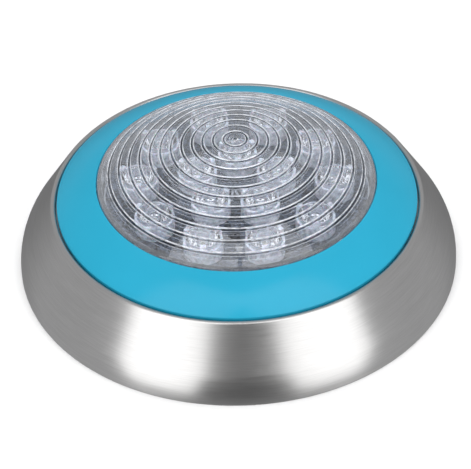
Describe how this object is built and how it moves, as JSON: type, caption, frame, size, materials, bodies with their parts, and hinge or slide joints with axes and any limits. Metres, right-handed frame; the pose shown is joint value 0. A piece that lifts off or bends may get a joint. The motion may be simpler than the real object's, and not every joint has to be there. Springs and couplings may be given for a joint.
{
  "type": "underwater pool light",
  "caption": "Round surface-mounted underwater pool light: brushed steel skirt, blue trim ring and a clear ringed dome over LED optics, on a lift-off wall bracket.",
  "frame": {"origin": "middle of the wall plane, on the lamp's axis, at the back face of the bracket and the skirt's rim", "axes": "+Z along the lamp's axis, out of the lens and away from the wall; +Y towards the lock screw in the skirt's rim; +X completes the right-handed set"},
  "size_m": [0.23, 0.2298, 0.0785],
  "materials": {
    "brushed_stainless": "fine circumferential brushing, satin",
    "plain_stainless": "plain mill finish",
    "blue_gloss_plastic": "glossy moulded, sky blue",
    "clear_polycarbonate": "clear, polished, with moulded ring grooves",
    "clear_acrylic": "clear, polished optics",
    "holder_plastic": "frosted white moulding",
    "housing_plastic": "light grey glass-filled moulding",
    "cast_aluminium": "as extruded",
    "thermal_pad": "soft silicone pad",
    "led_board_mask": "aluminium-core board, dark grey solder mask",
    "led_package": "white package with a dull phosphor dome",
    "chip_black": "black moulded package",
    "circuit_board_green": "green solder mask",
    "brass": "turned",
    "capacitor_sleeve": "dark shrink sleeve",
    "ferrite": "sintered ferrite",
    "enamelled_copper": "enamelled copper wire",
    "terminal_green": "moulded terminal block",
    "connector_white": "white nylon",
    "lead_insulation": "grey silicone-insulated wire",
    "black_rubber": "black EPDM rubber",
    "black_nylon": "black nylon"
  },
  "bodies": {
    "bracket": {"wall_bracket": "plain_stainless", "spring_clips": "plain_stainless", "clip_rivets": "plain_stainless", "lock_nut": "plain_stainless"},
    "lock_screw": {"lock_screw": "plain_stainless"},
    "lamp": {"housing": "housing_plastic", "housing_feet": "housing_plastic", "heat_sink": "cast_aluminium", "heat_sink_screws": "plain_stainless", "thermal_pad": "thermal_pad", "led_board": "led_board_mask", "board_screws": "plain_stainless", "board_resistors": "chip_black", "leds_outer": "led_package", "leds_inner": "led_package", "optics_outer": "clear_acrylic", "optics_inner": "clear_acrylic", "optic_holders_outer": "holder_plastic", "optic_holders_inner": "holder_plastic", "driver_board": "circuit_board_green", "driver_standoffs": "brass", "driver_screws": "plain_stainless", "capacitors": "capacitor_sleeve", "inductor_core": "ferrite", "inductor_coil": "enamelled_copper", "rectifier": "chip_black", "driver_chips": "chip_black", "terminal_block": "terminal_green", "terminal_screws": "plain_stainless", "led_connector": "connector_white", "led_leads": "lead_insulation", "lead_grommet": "black_rubber", "gland_body": "black_nylon", "gland_washer": "black_rubber", "gland_locknut": "black_nylon", "gland_seal": "black_rubber", "lens_gasket": "black_rubber", "lens": "clear_polycarbonate", "face_skirt": "brushed_stainless", "skirt_rim": "brushed_stainless", "skirt_flange": "brushed_stainless", "clamp_ring": "plain_stainless", "clamp_screws": "plain_stainless"},
    "gland_nut": {"gland_nut": "black_nylon"},
    "trim": {"trim_ring": "blue_gloss_plastic"}
  },
  "joints": [
    {"name": "lamp_lift_off", "type": "slide", "parent": "bracket", "child": "lamp", "axis": [0, 0, 1], "range_m": [0, 0.06]},
    {"name": "lock_screw_out", "type": "slide", "parent": "bracket", "child": "lock_screw", "axis": [0, 1, 0], "range_m": [0, 0.012]},
    {"name": "trim_ring_off", "type": "slide", "parent": "lamp", "child": "trim", "axis": [0, 0, 1], "range_m": [0, 0.03]},
    {"name": "gland_nut_turn", "type": "hinge", "parent": "lamp", "child": "gland_nut", "pos_m": [0, 0, 0.007], "axis": [0, 0, -1], "range_deg": [0, 720]}
  ]
}
